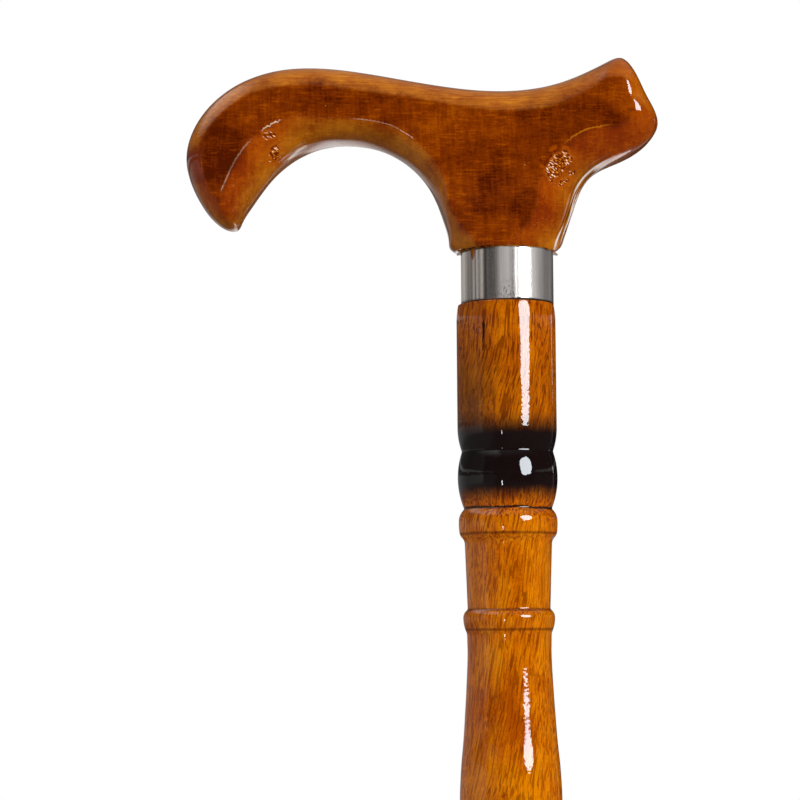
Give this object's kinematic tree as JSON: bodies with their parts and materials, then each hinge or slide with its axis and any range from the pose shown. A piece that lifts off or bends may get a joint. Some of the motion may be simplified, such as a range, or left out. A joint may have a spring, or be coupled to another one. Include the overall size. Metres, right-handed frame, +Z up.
{
  "type": "derby cane",
  "caption": "Wooden walking cane with a carved derby handle, polished steel collar, turned shaft with a scorched knob, and a pull-off rubber tip.",
  "frame": {"origin": "middle of the rubber tip's foot, on the shaft's axis, on the floor", "axes": "+Z up the shaft to the handle; -X the way the handle's nose points, +X the tail; the handle's flat sides face -Y and +Y"},
  "size_m": [0.128, 0.037, 0.9144],
  "materials": {
    "handle_wood": "dark amber stain under thick gloss lacquer",
    "polished_steel": "polished, with fine lengthwise streaks",
    "shaft_wood": "orange amber open-pored wood, scorched black at the knob, under thick gloss lacquer",
    "plain_steel": "plain threaded rod",
    "tip_rubber": "moulded matt black",
    "zinc_steel": "zinc plated"
  },
  "bodies": {
    "cane": {"handle": "handle_wood", "collar": "polished_steel", "shaft": "shaft_wood", "joint_stud": "plain_steel"},
    "tip": {"rubber_tip": "tip_rubber", "tip_washer": "zinc_steel"}
  },
  "joints": [
    {"name": "tip_pull_off", "type": "slide", "parent": "cane", "child": "tip", "axis": [0, 0, -1], "range_m": [0, 0.038]}
  ]
}
